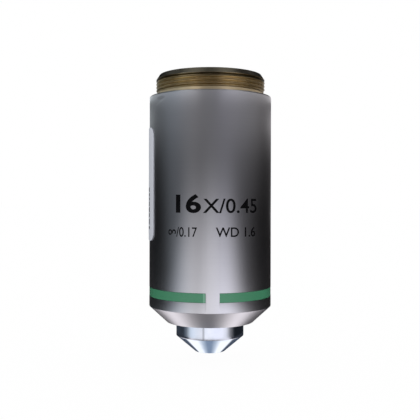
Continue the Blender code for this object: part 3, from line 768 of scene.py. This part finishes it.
large_foot_z, small_foot_z = -0.0264, -0.0315
magnification_height, aperture_height, small_height = 0.00404, 0.0031, 0.0021
for name, text, left_x, foot_z, width, height, weight in [
    ("magnification_number", "16", -0.00775, large_foot_z, 0.0058, magnification_height, 0.030),
    ("aperture_number", "X/0.45", -0.00155, large_foot_z, 0.0128, aperture_height, 0.010),
    ("tube_and_cover_number", "∞/0.17", -0.0098, small_foot_z, 0.0070, small_height, 0.008),
    ("distance_number", "WD 1.6", 0.0012, small_foot_z, 0.0096, small_height, 0.012),
]:
    letter(name, text, left_x, foot_z, width, height, weight)

black_ink = Finish("black_ink", Specular_IOR_Level=0.08)
unevenness = black_ink.clouds(3500.0)
black_ink.give("Base Color", black_ink.mix(unevenness, (0.0015, 0.0015, 0.002), (0.004, 0.004, 0.005)))
black_ink.give("Roughness", 0.38 + unevenness * 0.15)
black_ink.dress("magnification_number", "aperture_number", "tube_and_cover_number", "distance_number")


# Thread collar. It is brass that has darkened in use, with the mounting thread of 25 mm by 0.75 mm
# cut on it, a chamfer to start it, and a neck at the shoulder where the tool ran out. The roots of
# the thread are darker, a band of painted shade lies in the groove under the chamfer, and the neck
# is painted lighter, a painted highlight.

low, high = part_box("thread_collar")
crest_radius = high.x
pitch = 0.00075
thread_depth = 0.00046
lead = 0.00075
lead_height = 0.00114
neck_radius = crest_radius - thread_depth
neck_top_z = 0.00089
turns_below_neck = 1.41
collar_bore = 0.0098
bore_chamfer = 0.0005
spigot_radius = 0.0120
shoulder_gap = 0.00005
thread_facets = 192
thread_high_z = high.z
thread_start_z = neck_top_z - turns_below_neck * pitch
root_share, flank_share, crest_share = 0.12, 0.38, 0.12
crest_start = root_share + flank_share
tooth = [(0.0, 0.0), (root_share, 0.0), (crest_start, 1.0), (crest_start + crest_share, 1.0), (1.0, 0.0)]
tooth_steps = 16
collar_weld = 2e-7


def tooth_height(share):
    """Height of the tooth, from 0 in the root to 1 on the crest, at a share of the pitch."""
    for (start, first), (end, last) in zip(tooth, tooth[1:]):
        if share <= end:
            return first + (last - first) * (share - start) / (end - start)
    return 0.0


tool = bpy.data.meshes.new("brass_collar")
tool_points = []
for step in range(tooth_steps + 1):
    depth = thread_depth * (1.0 - tooth_height(step / tooth_steps))
    tool_points.append((crest_radius - depth, 0.0, thread_start_z + pitch * step / tooth_steps))
tool.from_pydata(tool_points, [(step, step + 1) for step in range(tooth_steps)], [])
brass_collar = bpy.data.objects.new("brass_collar", tool)
bpy.context.scene.collection.objects.link(brass_collar)
bpy.ops.object.select_all(action="DESELECT")
brass_collar.select_set(True)
bpy.context.view_layer.objects.active = brass_collar
cut = brass_collar.modifiers.new("Thread", "SCREW")
cut.axis = "Z"
cut.steps = thread_facets
cut.render_steps = thread_facets
cut.screw_offset = pitch
cut.iterations = math.ceil((thread_high_z - neck_top_z) / pitch) + 1
bpy.ops.object.modifier_apply(modifier="Thread")
lead_foot_z = thread_high_z - lead_height
lead_slope = lead / lead_height
for vertex in brass_collar.data.vertices:
    z = min(max(vertex.co.z, neck_top_z), thread_high_z)
    radius = math.hypot(vertex.co.x, vertex.co.y)
    run_out = neck_radius + (z - neck_top_z)
    run_in = crest_radius - max(0.0, lead_foot_z - z) * thread_depth / (flank_share * pitch)
    chamfer = crest_radius - max(0.0, z - lead_foot_z) * lead_slope
    trimmed = min(max(radius, run_in), run_out, chamfer) / radius
    vertex.co = (vertex.co.x * trimmed, vertex.co.y * trimmed, z)
bpy.ops.object.mode_set(mode="EDIT")
bpy.ops.mesh.select_mode(type="VERT")
bpy.ops.mesh.select_all(action="SELECT")
bpy.ops.mesh.remove_doubles(threshold=collar_weld)
bpy.ops.mesh.select_all(action="DESELECT")
bpy.ops.object.mode_set(mode="OBJECT")
for vertex in brass_collar.data.vertices:
    vertex.select = vertex.co.z > thread_high_z - weld
bpy.ops.object.mode_set(mode="EDIT")
extend([
    (crest_radius - lead, thread_high_z),
    (collar_bore + bore_chamfer, thread_high_z),
    (collar_bore, thread_high_z - bore_chamfer),
    (collar_bore, low.z),
    (spigot_radius, low.z),
    (spigot_radius, shoulder_gap),
    (neck_radius, shoulder_gap),
    (neck_radius, neck_top_z),
])
bpy.ops.mesh.select_all(action="SELECT")
bpy.ops.mesh.remove_doubles(threshold=collar_weld)
bpy.ops.mesh.normals_make_consistent(inside=False)
settle(brass_collar, rounding=0.0, smooth=math.radians(32.0))
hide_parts("thread_collar")
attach(brass_collar, "housing")

thread_brass = Finish("thread_brass", Metallic=1.0)
marks = thread_brass.tool_marks(9000.0, 150.0)
patina = thread_brass.clouds(380.0, 5.0).between(0.35, 0.72)
neck_fade = 0.0003
lead_fade = 0.00003
# Painted shade: the colour is made almost black in a band in the groove under the chamfer.
shadow_low_z, shadow_high_z = 0.00340, 0.00384
shadow_low_fade, shadow_high_fade = 0.00012, 0.00008
x, y, z = thread_brass.place()
root = 1.0 - ((x * x + y * y) ** 0.5).between(neck_radius, crest_radius)
in_thread = z.between(neck_top_z, neck_top_z + neck_fade)
on_lead = z.between(lead_foot_z - lead_fade, lead_foot_z + lead_fade)
over_shadow = z.between(shadow_high_z - shadow_high_fade, shadow_high_z)
painted_groove_shade = z.between(shadow_low_z, shadow_low_z + shadow_low_fade) * (1.0 - over_shadow)
# The thread is made darker in its roots, and patina darkens it in patches.
darker_roots_and_patina = root * in_thread * 0.25 + patina * 0.40
thread_colour = thread_brass.mix(darker_roots_and_patina, (0.84, 0.67, 0.39), (0.42, 0.32, 0.15))
upper_colour = thread_brass.mix(on_lead, thread_colour, (0.31, 0.28, 0.21))
# Painted highlight: the neck below the thread gets a lighter, clean brass colour for its bright
# reflection.
collar_colour = thread_brass.mix(in_thread, (0.88, 0.71, 0.44), upper_colour)
thread_brass.give("Base Color", thread_brass.mix(painted_groove_shade * 0.92, collar_colour, (0.04, 0.03, 0.01)))
thread_brass.give("Roughness", 0.24 + marks * 0.12 + patina * 0.10)
thread_brass.bump(marks, 0.000002)
thread_brass.dress("brass_collar")


# Floor. The objective hangs just over a sheet of pale paper. The camera sees the sheet as plain
# white from above, and from below it is clear.

floor_gap = 0.0026
floor_z = cad_box[0].z - floor_gap
white = (1.0, 1.0, 1.0)


def show(finish, surface):
    """Make another shader than the usual one the surface of this finish."""
    finish.tree.links.new(surface.socket, finish.tree.nodes["Material Output"].inputs["Surface"])


bpy.ops.object.select_all(action="DESELECT")
bpy.ops.mesh.primitive_plane_add(size=8.0, location=(0.0, 0.0, floor_z))
floor = bpy.context.object
floor.name = "pale_floor"
floor_finish = Finish("pale_floor")
camera_ray = floor_finish.node("LightPath", {}, {}, "Is Camera Ray")
transmission_ray = floor_finish.node("LightPath", {}, {}, "Is Transmission Ray")
paper = floor_finish.node("BsdfDiffuse", {}, {"Color": (0.96, 0.96, 0.96)})
glow = floor_finish.node("Emission", {}, {"Color": white, "Strength": 1.0})
shown_white = camera_ray * 0.97 + transmission_ray * 0.5
lit = floor_finish.node("MixShader", {}, {0: shown_white, 1: paper, 2: glow})
below = floor_finish.node("NewGeometry", {}, {}, "Backfacing") * camera_ray
clear = floor_finish.node("BsdfTransparent", {}, {})
show(floor_finish, floor_finish.node("MixShader", {}, {0: below, 1: lit, 2: clear}))
floor_finish.dress("pale_floor")


# Silk tent. A tube of lit silk stands round the objective, and only metal and other glossy faces
# see it: broad and bright low in front, dark at the sides and grey above, with narrow bands for
# the neck and the thread and a window to each side.

tent_radius = 0.040
tent_top_z = 0.070
half_turn = 180.0
full_turn = 360.0
bpy.ops.mesh.primitive_cylinder_add(
    vertices=96, radius=tent_radius, depth=tent_top_z - floor_z, end_fill_type="NOTHING",
    location=(0.0, 0.0, (tent_top_z + floor_z) / 2.0),
)
tent = bpy.context.object
tent.name = "silk_panels"
bpy.ops.object.transform_apply()


def show_to_gloss(panel):
    """Hide a panel from all rays but those that glossy faces throw back."""
    for ray in ("camera", "diffuse", "transmission", "shadow", "volume_scatter"):
        setattr(panel, "visible_" + ray, False)


def turned_from_front(finish, x, y):
    """The angle round the axis in radians, from 0 at the front, positive to the right."""
    return finish.node("Math", {"operation": "ARCTAN2"}, {0: x, 1: -1.0 * y})


show_to_gloss(tent)
silk = Finish("silk_panels")
x, y, z = silk.place()
bearing = turned_from_front(silk, x, y) * (half_turn / math.pi)
rise = (z - floor_z) / (tent_top_z - floor_z)


def at_height(*stops):
    """A ramp over the height of the tent, from stops of (height in millimetres, level)."""
    tent_height = tent_top_z - floor_z
    return silk.ramp(rise, [((mm / 1000.0 - floor_z) / tent_height, level) for mm, level in stops])


def at_bearing(offset, *stops):
    """A ramp over the angle from the front, to both sides, from stops of (degrees, level)."""
    angle = abs(bearing + offset) / half_turn
    return silk.ramp(angle, [(degrees / half_turn, level) for degrees, level in stops])


def round_front(angle, *stops):
    """A ramp from the left over the front to the right, from stops of (degrees, level)."""
    share = angle / full_turn + 0.5
    return silk.ramp(share, [(degrees / full_turn + 0.5, level) for degrees, level in stops])


# Front panel, with its own shape for the nose at the foot.
low_light = at_height(
    (-60.9, 1.0), (-56, 1.0), (-52, 1.06), (-50, 1.03), (-44, 0.85), (-39, 0.74), (-34, 0.59),
    (-29, 0.45), (-22, 0.235), (-20, 0.19), (-14, 0.108), (-12, 0.074), (-7, 0.03), (-4, 0.0),
    (70, 0.0),
)
low_panel = at_height((-60.9, 1.0), (-57, 1.0), (-52, 0.0), (70, 0.0))
narrowing = at_height((-60.9, 0.9), (-51, 0.9), (-46, 0.98), (-38, 1.08), (-28, 1.22), (70, 1.22))
body_panel = round_front(
    bearing * narrowing, (-180, 0.5), (-173, 0.45), (-162, 0.10), (-148, 0.02), (-100, 0.010),
    (-80, 0.025), (-70, 0.065), (-60, 0.19), (-50, 0.44), (-40, 0.68), (-30, 0.80), (-23, 0.74),
    (-16, 0.67), (-8, 0.88), (0, 0.95), (8, 0.99), (15, 0.98), (22, 0.93), (30, 0.84), (40, 0.54),
    (50, 0.24), (60, 0.09), (70, 0.045), (85, 0.013), (110, 0.010), (148, 0.02), (162, 0.10),
    (173, 0.45), (180, 0.5),
)
nose_panel = round_front(
    bearing, (-180, 0.3), (-165, 0.2), (-150, 0.06), (-98, 0.045), (-92, 0.06), (-84, 0.15),
    (-78, 0.24), (-72, 0.46), (-66, 0.74), (-61, 0.88), (-51, 1.0), (-6, 1.05), (39, 1.0),
    (49, 0.88), (54, 0.74), (60, 0.46), (66, 0.24), (72, 0.15), (80, 0.04), (86, 0.012),
    (150, 0.015), (165, 0.2), (180, 0.3),
)
streak_level = at_height((-44, 0.0), (-34, 0.10), (-20, 0.12), (-12, 0.0))
streak = 1.0 + bearing.near(0.0, 3.0, 12.0) * streak_level
right_level = at_height((-60.9, 0.0), (-56, 0.0), (-52, 0.2), (-49, 0.2), (-44, 0.0))
right_foot = 1.0 + bearing.between(8.0, 26.0) * right_level
seam = bearing.near(-19.5, 1.5, 4.5) * low_panel * 0.42
left_silk = (-1.0 * bearing).between(19.0, 21.0) * low_panel * 0.12
front_panel = body_panel + (nose_panel - body_panel) * low_panel
front = low_light * right_foot * streak * front_panel * (1.0 - seam) * (1.0 - left_silk)

# Upper silk, for the top half of the sleeve, and what shapes it near the shoulder.
high_light = at_height(
    (-44, 0.003), (-34, 0.007), (-28, 0.016), (-20, 0.043), (-14, 0.072), (-12, 0.097),
    (-7, 0.172), (-4, 0.219), (-2, 0.225), (0, 0.175), (1.2, 0.158), (3.0, 0.122), (3.4, 0.0),
    (70, 0.0),
)
sides = round_front(
    bearing, (-180, 1.3), (-150, 1.2), (-120, 0.8), (-110, 0.56), (-100, 0.46), (-90, 0.50),
    (-80, 0.58), (-70, 0.75), (-60, 0.88), (-45, 0.95), (-30, 0.98), (-22, 0.90), (-15, 0.82),
    (-8, 0.77), (0, 0.76), (8, 0.81), (15, 0.89), (22, 0.97), (30, 1.05), (40, 1.04), (50, 0.99),
    (60, 0.91), (70, 0.82), (80, 0.72), (90, 0.57), (100, 0.50), (110, 0.56), (120, 0.75),
    (150, 1.2), (180, 1.3),
)
limb = abs(bearing).between(85.0, 108.0)
limb_level = at_height((-60.9, 0.0), (-14, 0.0), (-8, 0.25), (-3, 0.55), (70, 0.55))
limb_light = 1.0 - limb * 0.3 + limb * limb_level
top_shape = at_bearing(
    0.0, (0, 1.15), (30, 0.76), (45, 0.85), (60, 1.07), (80, 1.36), (100, 1.48), (180, 1.5),
)
near_top = at_height((-8, 0.0), (-3, 0.4), (0, 0.85), (1, 1.0), (70, 1.0))
top_sides = 1.0 + (top_shape - 1.0) * near_top
edge_shape = at_bearing(
    0.0, (0, 1.30), (10, 1.20), (22, 0.45), (35, 0.25), (60, 0.40), (75, 0.55), (92, 0.05),
    (180, 0.0),
)
top_edge = 1.0 + (edge_shape - 1.0) * at_height((1.5, 0.0), (2.8, 1.0), (70, 1.0))
top_right_level = at_height((-1, 0.0), (1.5, 0.28), (70, 0.28))
top_right = 1.0 - bearing.between(40.0, 75.0) * top_right_level
upper = high_light * sides * limb_light * top_sides * top_edge * top_right

# Glow on the sleeve's flanks, then the bands, the windows and the back.
side_glow = round_front(
    bearing, (-180, 0.0), (-92, 0.0), (-80, 0.25), (-70, 0.9), (-60, 1.25), (-50, 0.7), (-35, 0.4),
    (-20, 0.0), (20, 0.0), (35, 0.4), (50, 0.5), (62, 0.40), (72, 0.25), (86, 0.0), (180, 0.0),
) * at_height((-44, 0.0), (-38, 0.04), (-28, 0.05), (-14, 0.045), (-7, 0.0), (70, 0.0))
neck_light = at_height((3.2, 0.0), (3.9, 1.05), (5.4, 1.1), (6.3, 0.0), (70, 0.0)) * at_bearing(
    1.0, (0, 0.42), (10, 0.44), (20, 0.85), (34, 0.95), (48, 0.95), (60, 0.88), (75, 0.85),
    (90, 0.80), (105, 0.8), (130, 0.9), (180, 1.0),
)
collar_light = at_height(
    (5.4, 0.0), (6.3, 1.0), (7.6, 0.60), (9, 0.35), (12, 0.08), (58, 0.04), (64, 0.30), (70, 0.30),
) * at_bearing(
    1.0, (0, 0.42), (15, 0.36), (22, 1.10), (34, 1.16), (48, 0.95), (60, 0.50), (75, 0.20),
    (95, 0.08), (150, 0.08), (180, 0.3),
) * (1.0 - bearing.between(18.0, 32.0) * 0.16)
window = at_bearing(
    4.0, (0, 0.03), (28, 0.03), (36, 1.15), (58, 1.05), (75, 0.2), (90, 0.02), (150, 0.02),
    (170, 0.15), (180, 0.15),
) * (1.0 + (-1.0 * bearing).between(5.0, 25.0) * 0.25)
window_height = z.between(0.018, 0.024) * (1.0 - z.between(0.036, 0.044))
back_light = abs(bearing).between(108.0, 122.0) * z.between(0.030, 0.040) * 0.35
window_light = window * window_height * 0.85
level = front + upper + side_glow + neck_light + collar_light + back_light + window_light

# Tint, bluer at the left and at the foot of the sides.
side_tint = silk.ramp(bearing / full_turn + 0.5, [
    (0.19, (0.90, 0.98, 1.03)), (0.33, (0.88, 0.98, 1.10)), (0.43, (0.985, 0.985, 1.035)),
    (0.50, (0.98, 0.985, 1.045)), (0.555, (0.97, 0.975, 1.09)), (0.667, (0.985, 0.98, 1.04)),
    (0.75, (1.01, 0.98, 1.0)),
])
low_blue = abs(bearing).between(70.0, 92.0) * low_panel
silk_tint = silk.mix(low_blue, side_tint, (0.78, 0.96, 1.22))
show(silk, silk.node("Emission", {}, {"Color": silk_tint, "Strength": level}))
silk.dress("silk_panels")


# Cards. A grey one closes the tent above, darker over the front. The one under the nose lights the
# nose's cone from its middle and the sleeve's taper from further out.

card_radius = 0.0395
card_gap = 0.0002
for card_name, card_z in (("under_card", floor_z + card_gap), ("grey_roof", tent_top_z - card_gap)):
    bpy.ops.mesh.primitive_circle_add(
        vertices=96, radius=card_radius, fill_type="NGON", location=(0.0, 0.0, card_z),
    )
    card = bpy.context.object
    card.name = card_name
    bpy.ops.object.transform_apply()
    show_to_gloss(card)

roof = Finish("grey_roof")
x, y = roof.place()[:2]
front_middle = (1.0 - y.between(-0.018, -0.008)) * x.near(0.0, 0.009, 0.017)
roof_level = 0.42 - 0.39 * front_middle
show(roof, roof.node("Emission", {}, {"Color": white, "Strength": roof_level}))
roof.dress("grey_roof")

under = Finish("under_card")
x, y = under.place()[:2]
reach = (x * x + y * y) ** 0.5 / card_radius
around = turned_from_front(under, x, y) / math.pi


def round_card(offset, *stops):
    """A ramp over the angle from the card's front, to both sides, from stops of (degrees, level)."""
    angle = abs(around + offset / half_turn)
    return under.ramp(angle, [(degrees / half_turn, level) for degrees, level in stops])


cone_edge = round_card(
    0.0, (0, 0.162), (66, 0.195), (99, 0.25), (130, 0.377), (150, 0.58), (162, 0.81), (180, 1.0),
)
past_cone = (reach / cone_edge).between(0.93, 1.07)
cone_light = round_card(
    2.0, (0, (0.24, 0.31, 0.42)), (10, (0.26, 0.33, 0.44)), (28, (0.58, 0.66, 0.76)),
    (46, (1.15, 1.17, 1.20)), (86, (1.15, 1.17, 1.20)), (100, (0.08, 0.10, 0.14)),
    (180, (0.05, 0.07, 0.10)),
)
taper_level = round_card(
    8.0, (0, 0.20), (15, 0.22), (34, 0.42), (58, 0.92), (75, 1.20), (92, 0.85), (108, 0.25),
    (125, 0.08), (180, 0.05),
)
brightest_taper = 1.25
taper_light = under.mix(taper_level / brightest_taper, (0.0, 0.0, 0.0), (1.275, 1.225, 1.29))
rim_shade = reach.between(0.75, 0.90) * abs(around).between(0.30, 0.42)
lit_card = under.mix(past_cone, cone_light, taper_light)
card_tint = under.mix(rim_shade, lit_card, (0.03, 0.035, 0.045))
show(under, under.node("Emission", {}, {"Color": card_tint, "Strength": 1.0}))
under.dress("under_card")


# Daylight and camera. Even white light comes from all round. The camera stands level in front, a
# little above the middle of the objective, and is turned by a trace round its own line of sight.

world = bpy.data.worlds.new("even_white")
bpy.context.scene.world = world
world.use_nodes = True
world.node_tree.nodes["Background"].inputs["Color"].default_value = (*white, 1.0)
world.node_tree.nodes["Background"].inputs["Strength"].default_value = 1.0

camera_distance = 0.163
camera_z = -0.0235
camera_roll = -0.0022
bpy.ops.object.camera_add(
    location=(0.0, -camera_distance, camera_z), rotation=(math.pi / 2.0, camera_roll, 0.0),
)
camera = bpy.context.object
camera.data.lens = 60.3
camera.data.sensor_width = 36.0
camera.data.shift_x = -0.0005
camera.data.shift_y = -0.025
camera.data.clip_start = 0.01
bpy.context.scene.camera = camera
bpy.context.scene.view_settings.view_transform = "Standard"
